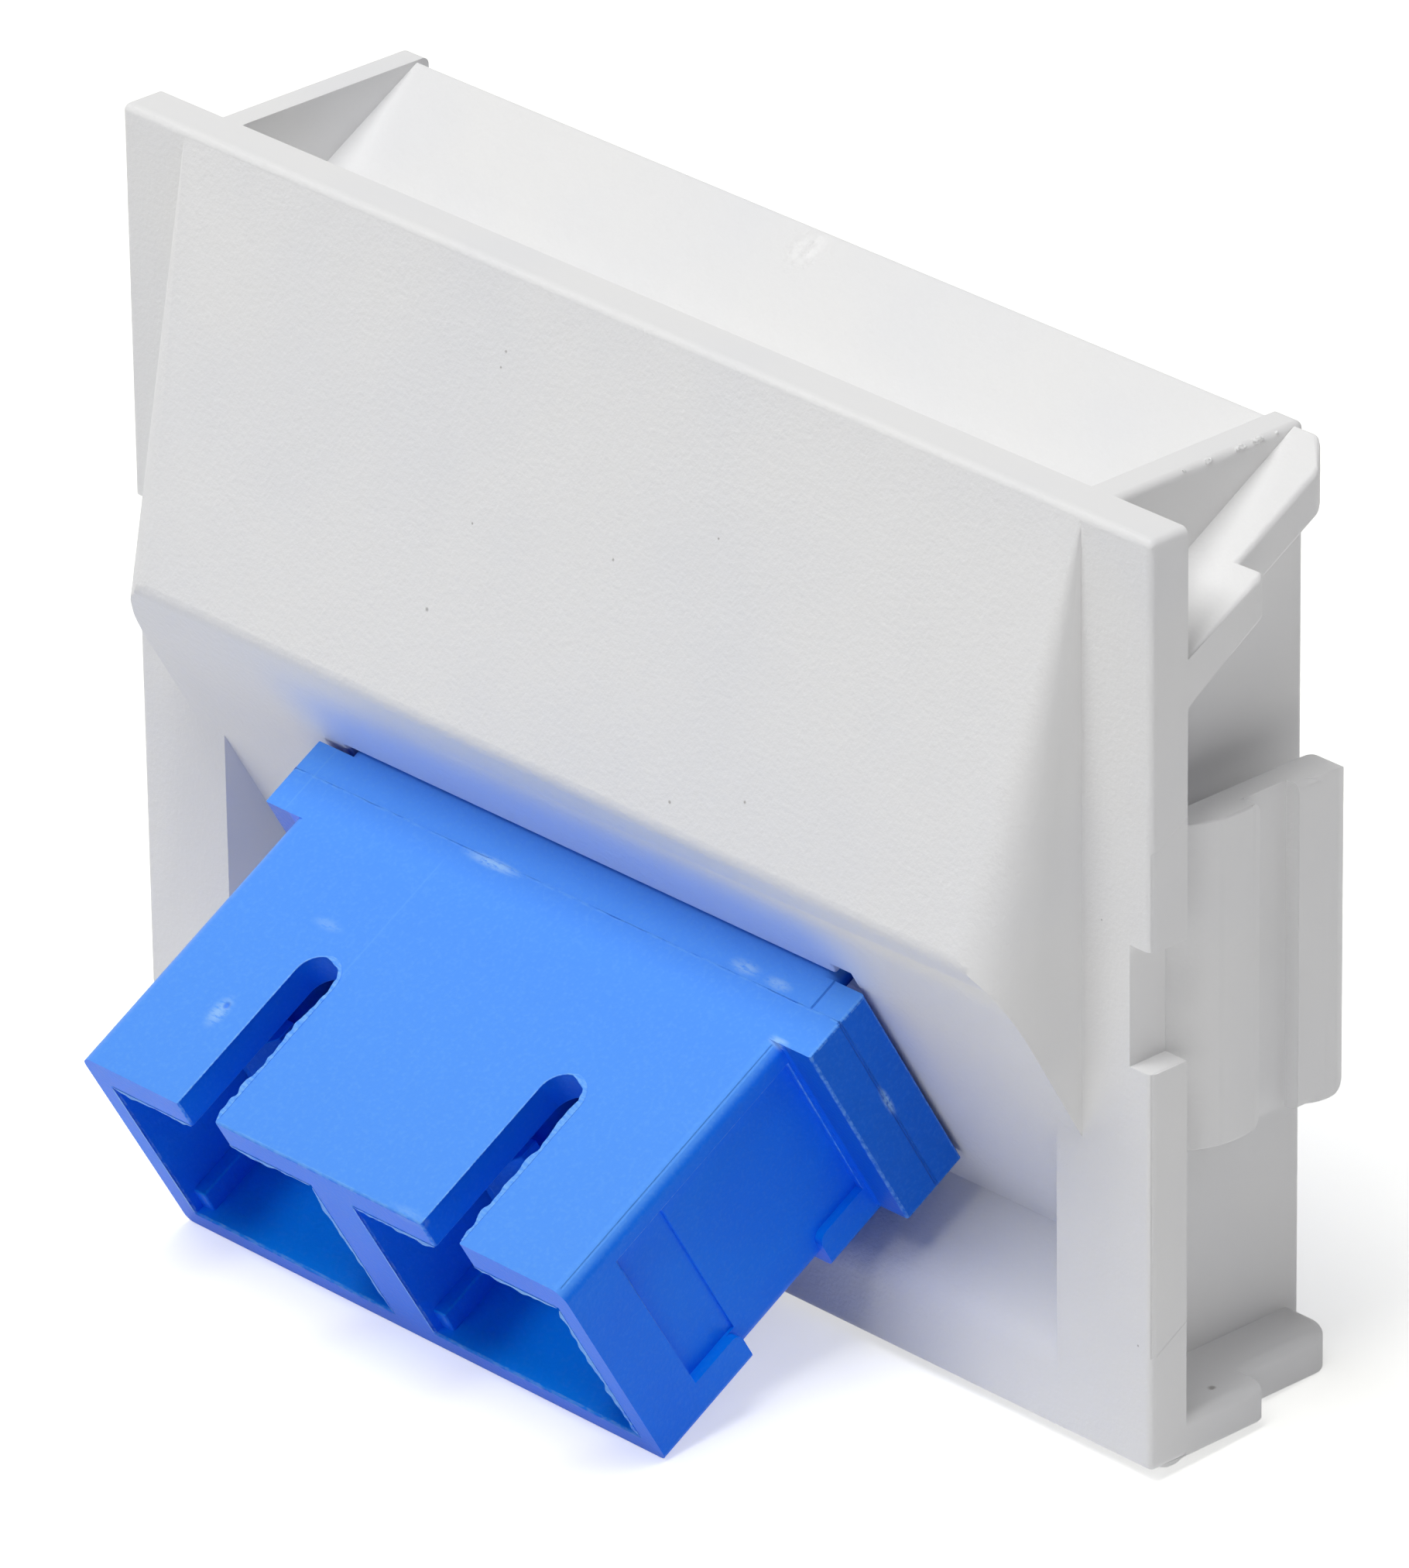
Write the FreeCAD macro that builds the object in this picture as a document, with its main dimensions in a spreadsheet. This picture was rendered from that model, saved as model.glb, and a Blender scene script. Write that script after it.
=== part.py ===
import FreeCAD, Part
import math
import os
from types import SimpleNamespace
import Sketcher

# Angled outlet module: a snap-in bezel whose hooded, sloping face holds a duplex SC fibre adapter.
# Millimetres, from the centre of the bezel's front face. X runs right, Y to the rear and Z up.

doc = FreeCAD.newDocument("AngledFibreOutlet")

# Driving dimensions, in millimetres and degrees
sizes = {
    # Bezel plate, with a notch in each side edge in front of the latch
    "plate_width": 52.2,
    "plate_height": 35.2,
    "plate_thick": 1.7,
    "edge_round": 0.3,
    "notch_height": 4.6,
    "notch_depth": 1.05,
    # Hood and sloping face
    "tilt": 30.0,
    "hood_reach": 4.2,
    "ridge_drop": 16.15,
    "ridge_round": 0.9,
    "ridge_run": 0.35,
    "hood_corner": 2.2,
    "hood_corner_top": 0.1,
    "face_length": 16.05,
    "face_wall": 1.5,
    "floor_wall": 1.5,
    "floor_round": 1.2,
    "floor_run": 0.66,
    # Rear box, roof and base
    "rim_width": 3.35,
    "side_wall": 1.25,
    "rear_depth": 10.6,
    "wall_round": 0.3,
    "roof_wall": 1.55,
    "roof_setback": 0.45,
    "base_wall": 1.55,
    "core_nose": 1.2,
    # Ribs and latches that hold the module in its frame
    "rib_inset": 1.2,
    "rib_round": 1.0,
    "rib_chamfer": 1.0,
    "rib_edge": 0.4,
    "seat_depth": 3.65,
    "ledge_thick": 1.75,
    "latch_height": 12.4,
    "latch_gap": 1.75,
    "latch_thick": 0.9,
    "latch_root": 0.5,
    "ridge_proud": 0.5,
    "ridge_bulge": 3.4,
    "hook_proud": 0.65,
    "hook_land": 1.25,
    "hook_lead": 1.75,
    "hook_bulge": 1.6,
    "tip_round": 0.35,
    "hook_round": 0.35,
    "hook_corner": 1.3,
    "ridge_corner": 0.5,
    # Adapter shells
    "adapter_rise": 6.45,
    "port_pitch": 12.7,
    "shell_wall": 0.95,
    "shell_roof": 1.35,
    "shell_base": 0.85,
    "shell_length": 13.5,
    "shell_round": 0.6,
    "shell_low_round": 0.35,
    "front_flange": 1.65,
    "rear_flange": 1.55,
    "ear_reach": 1.55,
    "ear_rise": 0.35,
    "ear_gap": 0.2,
    "ear_pad": 0.6,
    "seam_chamfer": 0.05,
    "cutout_gap": 0.08,
    "relief_width": 0.8,
    "relief_height": 0.5,
    "port_width": 10.5,
    "port_height": 7.35,
    "rail_width": 0.6,
    "rail_height": 0.9,
    "mouth_relief": 0.4,
    "key_width": 1.95,
    "key_length": 7.5,
    "pocket_sink": 0.35,
    "pocket_top": 1.05,
    "pocket_foot": 1.5,
    "pocket_front": 2.45,
    "pocket_back": 0.15,
    "label_length": 2.5,
    "label_sink": 0.12,
    "strap_start": 4.25,
    "strap_room": 4.4,
    "strap_round": 0.6,
    "foot_round": 0.4,
    # Sleeve holders, which clamp between the two shells
    "holder_plate": 1.0,
    "holder_step": 0.25,
    "holder_gap": 0.05,
    "tube_outer": 5.0,
    "tube_lip": 0.5,
    "tube_lip_bore": 2.8,
    "arm_spread": 6.6,
    "arm_thick": 0.9,
    "arm_height": 3.2,
    "arm_length": 9.4,
    "barb_length": 2.0,
    "barb_reach": 0.6,
    "barb_lead": 1.2,
    # Split alignment sleeves
    "sleeve_outer": 3.2,
    "sleeve_bore": 2.5,
    "sleeve_length": 11.4,
    "sleeve_slit": 0.5,
    "sleeve_gap": 0.15,
    # Spring clip around the rear shell
    "clip_thick": 0.3,
    "clip_gap": 0.02,
    "clip_side_gap": 0.1,
    "clip_top_gap": 0.4,
    "tongue_height": 3.0,
    "tongue_root": 0.9,
    "tongue_flare": 1.15,
    "tongue_gap": 0.05,
    "window_gap": 0.2,
}
sheet = doc.addObject("Spreadsheet::Sheet", "sizes")
for row, (alias, number) in enumerate(sizes.items(), start=1):
    sheet.set(f"A{row}", alias)
    sheet.set(f"B{row}", str(number))
    sheet.setAlias(f"B{row}", alias)
doc.recompute()


class Size:
    # A length or ratio known both as a number and as an expression on the sheet's cells

    def __init__(self, text, value):
        self.text = text
        self.value = value

    def __add__(self, other):
        other = as_size(other)
        return Size(f"({self.text} + {other.text})", self.value + other.value)

    def __sub__(self, other):
        other = as_size(other)
        return Size(f"({self.text} - {other.text})", self.value - other.value)

    def __mul__(self, other):
        other = as_size(other)
        return Size(f"({self.text} * {other.text})", self.value * other.value)

    def __truediv__(self, other):
        other = as_size(other)
        return Size(f"({self.text} / {other.text})", self.value / other.value)

    def __neg__(self):
        return self * -1

    def __radd__(self, other):
        return as_size(other) + self

    def __rsub__(self, other):
        return as_size(other) - self

    def __rmul__(self, other):
        return as_size(other) * self


def as_size(thing):
    return thing if isinstance(thing, Size) else Size(f"({thing})", thing)


def sin(angle):
    return Size(f"sin({angle.text})", math.sin(math.radians(angle.value)))


def cos(angle):
    return Size(f"cos({angle.text})", math.cos(math.radians(angle.value)))


def tan(angle):
    return Size(f"tan({angle.text})", math.tan(math.radians(angle.value)))


d = SimpleNamespace(**{alias: Size(f"sizes.{alias}", number) for alias, number in sizes.items()})

# How far a cutting outline runs past the surface that it opens
overcut = as_size(1.0)

# How close to a line or face a point counts as lying on it
hair = 0.01


# Drawing and building helpers

def bind(feature, path, size):
    feature.setExpression(path, as_size(size).text)


def plane_of(body, role):
    return next(plane for plane in body.Origin.OriginFeatures if plane.Role == role)


def new_body(label):
    body = doc.addObject("PartDesign::Body", label)
    body.Label = label
    return body


def new_sketch(body, role, name, ahead=0):
    sketch = body.newObject("Sketcher::SketchObject", name)
    sketch.AttachmentSupport = [(plane_of(body, role), "")]
    sketch.MapMode = "FlatFace"
    bind(sketch, "AttachmentOffset.Base.z", ahead)
    return sketch


def box(left, right, low, high):
    return [(left, low), (right, low), (right, high), (left, high)]


def point_of(corner):
    across, along = map(as_size, corner[:2])
    return FreeCAD.Vector(across.value, along.value, 0)


def place(sketch, curve, end, corner):
    # Sets a point by its two distances from the sketch's origin
    point = point_of(corner)
    for kind, size, start in (("DistanceX", corner[0], point.x), ("DistanceY", corner[1], point.y)):
        number = sketch.addConstraint(Sketcher.Constraint(kind, -1, 1, curve, end, start))
        bind(sketch, f"Constraints[{number}]", size)


def set_radius(sketch, curve, radius):
    number = sketch.addConstraint(Sketcher.Constraint("Radius", curve, radius.value))
    bind(sketch, f"Constraints[{number}]", radius)


def bowed(start, end, radius, side):
    # An arc between two points whose middle lies to one side of the chord
    chord = end - start
    half = chord.Length / 2
    rise = radius - math.sqrt(max(radius**2 - half**2, 0))
    middle = (start + end) / 2 + FreeCAD.Vector(chord.y, -chord.x, 0) / chord.Length * rise * side
    return Part.Arc(start, middle, end)


def add_outline(sketch, corners):
    # A closed outline. A corner's third value is the radius of an arc that runs from it to the next one,
    # and a fourth value, the word "hollow", bends that arc into the outline.
    first = sketch.GeometryCount
    points = [point_of(corner) for corner in corners]
    following = points[1:] + points[:1]
    area = sum(a.x * b.y - b.x * a.y for a, b in zip(points, following))
    starts = []
    for corner, start, end in zip(corners, points, following):
        if len(corner) == 2:
            sketch.addGeometry(Part.LineSegment(start, end))
            starts.append(1)
            continue
        swell = -1 if (area < 0) != (len(corner) > 3) else 1
        sketch.addGeometry(bowed(start, end, corner[2].value, swell))
        starts.append(1 if swell > 0 else 2)
    for i, corner in enumerate(corners):
        after = (i + 1) % len(corners)
        end = 3 - starts[i]
        sketch.addConstraint(Sketcher.Constraint("Coincident", first + i, end, first + after, starts[after]))
        place(sketch, first + i, starts[i], corner)
        if len(corner) > 2:
            set_radius(sketch, first + i, corner[2])


def add_circle(sketch, centre, radius):
    circle = Part.Circle(point_of(centre), FreeCAD.Vector(0, 0, 1), radius.value)
    curve = sketch.addGeometry(circle)
    place(sketch, curve, 3, centre)
    set_radius(sketch, curve, radius)


def finish(body, feature, grows):
    # Recomputes and makes sure that the feature changed the body's volume the right way
    before = feature.BaseFeature.Shape.Volume if feature.BaseFeature else 0
    doc.recompute()
    change = feature.Shape.Volume - before
    if change == 0 or (change > 0) != grows:
        raise RuntimeError(f"{body.Label}: {feature.Name} changed the volume by {change:.4f}")
    return feature


def extrude(body, kind, sketch, length, sides="One side", turned=False):
    feature = body.newObject(f"PartDesign::{kind}", f"{sketch.Name}{kind}")
    feature.Profile = sketch
    feature.SideType = sides
    feature.Reversed = turned
    bind(feature, "Length", length)
    return finish(body, feature, kind == "Pad")


def dress(body, kind, name, size, chosen):
    # Rounds or bevels the edges whose middle points pass the test
    base = body.Tip
    picked = [f"Edge{i}" for i, edge in enumerate(base.Shape.Edges, start=1)
              if chosen(edge.valueAt((edge.FirstParameter + edge.LastParameter) / 2))]
    feature = body.newObject(f"PartDesign::{kind}", name)
    feature.Base = (base, picked)
    bind(feature, "Radius" if kind == "Fillet" else "Size", size)
    doc.recompute()
    return feature


def near(one, other):
    return abs(one - as_size(other).value) < hair


# Lines and points of the module's cross-section, in Y and Z
top = d.plate_height / 2
half_plate = d.plate_width / 2
half_box = half_plate - d.rim_width
box_width = 2 * half_box
inner_width = box_width - 2 * d.side_wall
slope = d.hood_reach / (d.ridge_drop - d.edge_round)
slant = Size("atan(" + slope.text + ")", math.degrees(math.atan(slope.value)))
ridge = (-d.hood_reach, top - d.ridge_drop)
floor_back = (ridge[0] + d.face_length * sin(d.tilt), ridge[1] - d.face_length * cos(d.tilt))
floor_front = floor_back[1] - floor_back[0] * tan(d.tilt)
face_foot = ridge[1] - d.hood_reach / tan(d.tilt)
base_top = d.base_wall - top
roof_end = d.rear_depth - d.roof_setback
seat = d.plate_thick + d.seat_depth
half_shell = (d.port_pitch + d.port_width) / 2 + d.shell_wall
half_high = (d.port_height + d.shell_roof + d.shell_base) / 2
adapter_seat = (floor_back[0] - d.adapter_rise * sin(d.tilt), floor_back[1] + d.adapter_rise * cos(d.tilt))


def roof_at(depth):
    # Height of the roof's upper face, whose rear edge is level with the top of the bezel
    return top - (roof_end - depth) * tan(d.tilt)


def make_bezel(body):
    plate = new_sketch(body, "XZ_Plane", "Plate")
    add_outline(plate, box(-half_plate, half_plate, -top, top))
    extrude(body, "Pad", plate, d.plate_thick, turned=True)
    dress(body, "Fillet", "PlateEdges", d.edge_round, lambda middle: middle.y < d.plate_thick.value - hair)


def hood_section(body, name, height, front, corner):
    section = new_sketch(body, "XY_Plane", name, height)
    back = d.plate_thick / 2
    outline = [
        (-half_box, back),
        (-half_box, front + corner, corner),
        (corner - half_box, front),
        (half_box - corner, front, corner),
        (half_box, front + corner),
        (half_box, back),
    ]
    add_outline(section, outline)
    return section


def make_hood(body):
    # The hood swells from the plate's top edge, and its corners open out as it leaves the plate
    start = top - d.edge_round
    growth = (d.hood_corner - d.hood_corner_top) / (start - ridge[1])
    low_corner = d.hood_corner_top + growth * (start - face_foot)
    low_front = -slope * (start - face_foot)
    loft = body.newObject("PartDesign::AdditiveLoft", "Hood")
    loft.Profile = (hood_section(body, "HoodTop", start, as_size(0), d.hood_corner_top), [""])
    loft.Sections = [(hood_section(body, "HoodFoot", face_foot, low_front, low_corner), [""])]
    loft.Ruled = True
    finish(body, loft, True)
    under = new_sketch(body, "YZ_Plane", "HoodUnderside")
    on_face = (ridge[0] + d.ridge_run * sin(d.tilt), ridge[1] - d.ridge_run * cos(d.tilt))
    on_front = (ridge[0] + d.ridge_run * sin(slant), ridge[1] + d.ridge_run * cos(slant))
    outline = [
        (0, face_foot),
        (*on_face, d.ridge_round, "hollow"),
        on_front,
        (on_front[0] - overcut, on_front[1]),
        (low_front - overcut, face_foot - overcut),
        (0, face_foot - overcut),
    ]
    add_outline(under, outline)
    extrude(body, "Pocket", under, d.plate_width, "Symmetric")


def on_rear_box_edge(middle):
    # True on the box's upper side edges, its rear corners and its upper rear edge
    on_side = near(abs(middle.x), half_box)
    on_top = near(middle.z, top)
    on_rear = near(middle.y, d.rear_depth)
    return on_side and (on_top or on_rear) or on_top and on_rear


def make_rear_box(body):
    shell = new_sketch(body, "YZ_Plane", "RearBox")
    add_outline(shell, box(d.plate_thick / 2, d.rear_depth, -top, top))
    extrude(body, "Pad", shell, box_width, "Symmetric")
    dress(body, "Fillet", "WallEdges", d.wall_round,
          lambda middle: on_rear_box_edge(middle) and middle.y > d.plate_thick.value)
    # Hollow behind the hood, the sloping face and the recess floor
    step = d.plate_thick - slope * d.edge_round + d.face_wall * (slope * sin(d.tilt) - cos(d.tilt))
    run = step / (sin(d.tilt) + slope * cos(d.tilt))
    behind_ridge = (
        ridge[0] + d.face_wall * cos(d.tilt) + run * sin(d.tilt),
        ridge[1] + d.face_wall * sin(d.tilt) - run * cos(d.tilt),
    )
    under_floor = (
        floor_back[0] + d.face_wall * cos(d.tilt) + d.floor_wall * sin(d.tilt),
        floor_back[1] + d.face_wall * sin(d.tilt) - d.floor_wall * cos(d.tilt),
    )
    nose = under_floor[0] - (under_floor[1] - base_top - d.core_nose) / tan(d.tilt)
    hollow = new_sketch(body, "YZ_Plane", "Hollow")
    outline = [
        (d.plate_thick, top + overcut),
        (d.plate_thick, top),
        behind_ridge,
        under_floor,
        (nose, base_top + d.core_nose),
        (nose, base_top),
        (d.rear_depth + overcut, base_top),
        (d.rear_depth + overcut, top + overcut),
    ]
    add_outline(hollow, outline)
    extrude(body, "Pocket", hollow, inner_width, "Symmetric")
    # Recess in front of the adapter, with a rounded sill
    recess = new_sketch(body, "YZ_Plane", "Recess")
    outline = [
        (-overcut, face_foot + overcut / tan(d.tilt)),
        floor_back,
        (d.floor_run * cos(d.tilt), floor_front + d.floor_run * sin(d.tilt), d.floor_round, "hollow"),
        (0, floor_front - d.floor_run),
        (-overcut, floor_front - d.floor_run),
    ]
    add_outline(recess, outline)
    extrude(body, "Pocket", recess, inner_width, "Symmetric")


def roof_outline(front, back):
    thick = d.roof_wall / cos(d.tilt)
    return [
        (front, roof_at(front)),
        (back, roof_at(back)),
        (back, roof_at(back) - thick),
        (front, roof_at(front) - thick),
    ]


def make_roof_and_ribs(body):
    # The roof slab closes the box under the hood's trough, and goes on outside the walls as ribs
    depth = (roof_end - d.plate_thick) * tan(d.tilt) / (1 - slope * tan(d.tilt))
    roof = new_sketch(body, "YZ_Plane", "Roof")
    add_outline(roof, roof_outline(d.plate_thick / 2 - depth * slope, roof_end))
    extrude(body, "Pad", roof, box_width - d.side_wall, "Symmetric")
    room = half_plate - half_box
    for side, start in (("Right", half_box), ("Left", -half_plate)):
        upper = new_sketch(body, "YZ_Plane", f"{side}UpperRib", start)
        add_outline(upper, roof_outline(d.plate_thick, seat))
        extrude(body, "Pad", upper, room)
        lower = new_sketch(body, "YZ_Plane", f"{side}LowerRib", start)
        add_outline(lower, box(d.plate_thick, seat, -top, base_top))
        extrude(body, "Pad", lower, room)
        rear_start = half_box if side == "Right" else d.rib_inset - half_plate
        rear_lower = new_sketch(body, "YZ_Plane", f"{side}RearLowerRib", rear_start)
        add_outline(rear_lower, box(d.plate_thick, roof_end, -top, base_top))
        extrude(body, "Pad", rear_lower, room - d.rib_inset)
    # Only the right side carries the upper rib on to the rear
    rear_upper = new_sketch(body, "YZ_Plane", "RightRearUpperRib", half_box)
    add_outline(rear_upper, roof_outline(d.plate_thick, roof_end))
    extrude(body, "Pad", rear_upper, room - d.rib_inset)
    end_x = half_plate - d.rib_inset
    dress(body, "Fillet", "LowerRibEnds", d.rib_round,
          lambda middle: near(abs(middle.x), end_x) and near(middle.y, roof_end) and middle.z < 0)
    dress(body, "Chamfer", "UpperRibEnd", d.rib_chamfer,
          lambda middle: near(abs(middle.x), end_x) and near(middle.y, roof_end) and middle.z > 0)
    dress(body, "Fillet", "RibEdges", d.rib_edge,
          lambda middle: near(middle.z, base_top) and abs(middle.x) > half_box.value + hair
          and (near(abs(middle.x), half_plate) or middle.y > seat.value + hair))


def round_corners(body, name, side, start, end, radius):
    # Rounds the latch's upper and lower corners at one depth, from a plane out to its outer face
    corners = new_sketch(body, "YZ_Plane", name, side * start)
    half = d.latch_height / 2
    for way in (1, -1):
        outline = [
            (end - radius, way * half, radius, "hollow"),
            (end, way * (half - radius)),
            (end + overcut, way * (half - radius)),
            (end + overcut, way * (half + overcut)),
            (end - radius, way * (half + overcut)),
        ]
        add_outline(corners, outline)
    extrude(body, "Pocket", corners, half_plate, turned=side > 0)


def make_latches(body):
    # Sprung arms, each with a ridge in front of the frame's ledge and a hook behind it
    inside = half_box + d.latch_gap
    flat = inside + d.latch_thick
    catch = seat + d.ledge_thick
    crest = catch + d.hook_land
    tip = crest + d.hook_lead
    latches = new_sketch(body, "XY_Plane", "Latches", -d.latch_height / 2)
    for side in (1, -1):
        outline = [
            (side * inside, d.plate_thick),
            (side * inside, tip - d.tip_round, d.tip_round),
            (side * (inside + d.tip_round), tip, d.hook_bulge),
            (side * (flat + d.hook_proud), crest),
            (side * (flat + d.hook_proud), catch),
            (side * flat, catch),
            (side * flat, seat),
            (side * (flat + d.ridge_proud), seat, d.ridge_bulge),
            (side * (inside + d.latch_root), d.plate_thick),
        ]
        add_outline(latches, outline)
    extrude(body, "Pad", latches, d.latch_height)
    dress(body, "Fillet", "HookEnds", d.hook_round,
          lambda middle: near(abs(middle.z), d.latch_height / 2) and near(abs(middle.x), flat + d.hook_proud))
    for side in (1, -1):
        name = "Right" if side > 0 else "Left"
        round_corners(body, f"{name}HookCorners", side, inside, tip, d.hook_corner)
        round_corners(body, f"{name}RidgeCorners", side, flat, seat, d.ridge_corner)
    notches = new_sketch(body, "XZ_Plane", "Notches")
    for side in (1, -1):
        corners = box(half_plate - d.notch_depth, half_plate + overcut, -d.notch_height / 2, d.notch_height / 2)
        add_outline(notches, [(side * across, along) for across, along in corners])
    extrude(body, "Pocket", notches, d.plate_thick)


def make_cutout(body):
    # Opening for the adapter in the sloping face, with a relief at its upper right corner
    cutout = new_sketch(body, "XZ_Plane", "AdapterCutout", -adapter_seat[0])
    cutout.AttachmentOffset = FreeCAD.Placement(FreeCAD.Vector(), FreeCAD.Vector(1, 0, 0), d.tilt.value)
    bind(cutout, "AttachmentOffset.Base.z", -adapter_seat[0])
    bind(cutout, "AttachmentOffset.Base.y", adapter_seat[1])
    bind(cutout, "AttachmentOffset.Rotation.Angle", d.tilt)
    half = half_shell + d.cutout_gap
    high = half_high + d.cutout_gap
    outline = [
        (-half, -high),
        (half, -high),
        (half, high - d.relief_height),
        (half + d.relief_width, high - d.relief_height),
        (half + d.relief_width, high + d.relief_height),
        (half, high + d.relief_height),
        (half, high),
        (-half, high),
    ]
    add_outline(cutout, outline)
    extrude(body, "Pocket", cutout, d.face_wall + overcut)


def make_module_body():
    body = new_body("module_body")
    make_bezel(body)
    make_hood(body)
    make_rear_box(body)
    make_roof_and_ribs(body)
    make_latches(body)
    make_cutout(body)
    return body


# The adapter's pieces share one frame: the seam between the shells is at Y = 0, with the front at -Y

port_low = d.shell_base - half_high
port_high = half_high - d.shell_roof
port_middle = (port_low + port_high) / 2
sleeve_room = d.sleeve_length / 2 + d.sleeve_gap
port_centres = (("left", -d.port_pitch / 2), ("right", d.port_pitch / 2))


def tilt_into_place(body):
    base_y = (adapter_seat[0] - d.rear_flange * cos(d.tilt)).text
    base_z = (adapter_seat[1] - d.rear_flange * sin(d.tilt)).text
    turn = f"rotation(vector(1; 0; 0); {d.tilt.text})"
    body.setExpression("Placement", f"placement(vector(0; {base_y}; {base_z}); {turn})")


def make_shell(label, flange, way):
    # One moulded half. way is -1 for the half that faces the front and 1 for the rear half.
    body = new_body(label)
    rearward = way > 0
    block = new_sketch(body, "XZ_Plane", "Block")
    add_outline(block, box(-half_shell, half_shell, -half_high, half_high))
    extrude(body, "Pad", block, d.shell_length, turned=rearward)
    dress(body, "Fillet", "UpperEdges", d.shell_round,
          lambda middle: near(abs(middle.x), half_shell) and near(middle.z, half_high))
    dress(body, "Fillet", "LowerEdges", d.shell_low_round,
          lambda middle: near(abs(middle.x), half_shell) and near(middle.z, -half_high))
    ears = new_sketch(body, "XZ_Plane", "Flange")
    ear = half_shell + d.ear_reach
    ear_foot = d.ear_rise - half_high
    add_outline(ears, box(-ear, ear, ear_foot, half_high))
    extrude(body, "Pad", ears, flange - d.ear_gap if rearward else flange, turned=rearward)
    if rearward:
        # Only a pad low on each ear bears on the sloping face
        pads = new_sketch(body, "XZ_Plane", "EarPads")
        for side in (1, -1):
            corners = box(half_shell - d.shell_wall, half_shell + d.ear_pad, ear_foot, 0)
            add_outline(pads, [(side * across, along) for across, along in corners])
        extrude(body, "Pad", pads, flange, turned=rearward)
    dress(body, "Chamfer", "SeamBevel", d.seam_chamfer, lambda middle: near(middle.y, 0))
    cut_ports(body, way)
    cut_keyways(body, way)
    cut_clip_seat(body, flange, way)
    tilt_into_place(body)
    return body


def cut_ports(body, way):
    rearward = way > 0
    ports = new_sketch(body, "XZ_Plane", "Ports")
    half = d.port_width / 2
    narrow = half - d.rail_width
    low_rail = port_low + d.rail_height
    high_rail = port_high - d.rail_height
    for name, centre in port_centres:
        outline = [
            (centre - narrow, port_low),
            (centre + narrow, port_low),
            (centre + narrow, low_rail),
            (centre + half, low_rail),
            (centre + half, high_rail),
            (centre + narrow, high_rail),
            (centre + narrow, port_high),
            (centre - narrow, port_high),
            (centre - narrow, high_rail),
            (centre - half, high_rail),
            (centre - half, low_rail),
            (centre - narrow, low_rail),
        ]
        add_outline(ports, outline)
    extrude(body, "Pocket", ports, d.shell_length, turned=not rearward)
    # The guide rails stop just inside the mouth
    mouths = new_sketch(body, "XZ_Plane", "Mouths", -way * d.shell_length)
    seats = new_sketch(body, "XZ_Plane", "HolderSeats")
    for name, centre in port_centres:
        add_outline(mouths, box(centre - half, centre + half, port_low, port_high))
        wide = half + d.holder_step
        add_outline(seats, box(centre - wide, centre + wide, port_low - d.holder_step, port_high + d.holder_step))
    extrude(body, "Pocket", mouths, d.mouth_relief, turned=rearward)
    extrude(body, "Pocket", seats, d.holder_plate, turned=not rearward)


def cut_keyways(body, way):
    keyways = new_sketch(body, "XY_Plane", "Keyways", half_high)
    half = d.key_width / 2
    end = d.shell_length - d.key_length + half
    for name, centre in port_centres:
        outline = [
            (centre - half, way * (d.shell_length + overcut)),
            (centre + half, way * (d.shell_length + overcut)),
            (centre + half, way * end, half),
            (centre, way * (end - half), half),
            (centre - half, way * end),
        ]
        add_outline(keyways, outline)
    extrude(body, "Pocket", keyways, half_high - port_high + overcut / 2)


def cut_clip_seat(body, flange, way):
    # Shallow seat for the spring clip: a pocket in each side, joined by a channel under the shell
    start = flange + d.pocket_back
    end = d.shell_length - d.pocket_front
    strap_end = d.strap_start + d.strap_room
    floor = half_shell - d.pocket_sink
    foot = d.pocket_foot - half_high
    crown = half_high - d.pocket_top
    for side in (1, -1):
        name = "Right" if side > 0 else "Left"
        pocket = new_sketch(body, "YZ_Plane", f"{name}ClipSeat", side * floor)
        outline = [
            (way * start, crown),
            (way * start, foot),
            (way * d.strap_start, foot),
            (way * d.strap_start, -half_high - overcut),
            (way * strap_end, -half_high - overcut),
            (way * strap_end, foot),
            (way * end, foot),
            (way * end, crown),
        ]
        add_outline(pocket, outline)
        extrude(body, "Pocket", pocket, d.pocket_sink + d.ear_reach, turned=side > 0)
        panel = new_sketch(body, "YZ_Plane", f"{name}Label", side * (floor - d.label_sink))
        add_outline(panel, box(way * (end - d.label_length), way * end, foot, crown))
        extrude(body, "Pocket", panel, d.label_sink + d.pocket_sink, turned=side > 0)
    channel = new_sketch(body, "XY_Plane", "StrapChannel", d.pocket_sink - half_high)
    add_outline(channel, box(-half_shell, half_shell, way * d.strap_start, way * strap_end))
    extrude(body, "Pocket", channel, overcut)
    middle_y = way * (d.strap_start + d.strap_room / 2)
    dress(body, "Fillet", "StrapBends", d.strap_round,
          lambda middle: near(abs(middle.x), floor) and near(middle.y, middle_y) and middle.z < foot.value)
    dress(body, "Fillet", "FootCorners", d.foot_round,
          lambda middle: near(middle.z, foot) and abs(middle.x) > floor.value - d.label_sink.value
          and (near(abs(middle.y), d.strap_start) or near(abs(middle.y), strap_end)))


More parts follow.
